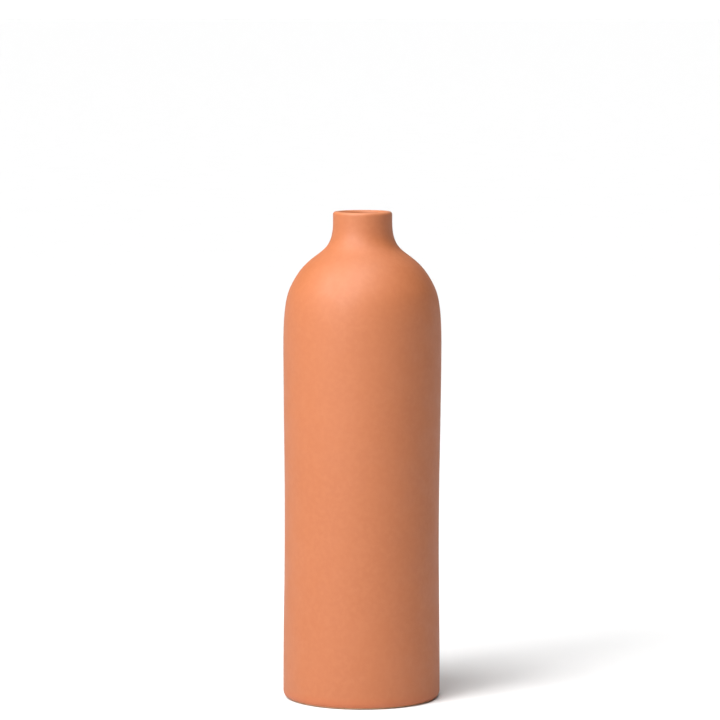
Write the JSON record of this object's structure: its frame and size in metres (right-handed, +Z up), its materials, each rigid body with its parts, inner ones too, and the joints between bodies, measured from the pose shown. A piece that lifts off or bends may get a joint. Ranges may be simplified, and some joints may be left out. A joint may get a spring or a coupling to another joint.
{
  "type": "ceramic bud vase",
  "caption": "Slim bottle-shaped ceramic bud vase with a domed shoulder and short narrow neck, for holding a stem or two in water.",
  "frame": {"origin": "centre of the foot ring, on the surface the vase stands on", "axes": "+Z up along the vase's axis, out of the mouth; X and Y lie in the table plane and are interchangeable"},
  "size_m": [0.0808, 0.0808, 0.25],
  "materials": {
    "clay": "bare fired stoneware, dry and slightly rough",
    "matte_glaze": "matte to satin coral-terracotta glaze, faintly mottled",
    "liner_glaze": "gloss cream liner glaze, watertight"
  },
  "bodies": {
    "root": {"clay_body": "clay", "outer_glaze": "matte_glaze", "liner_glaze": "liner_glaze", "base_glaze": "matte_glaze"}
  },
  "joints": []
}
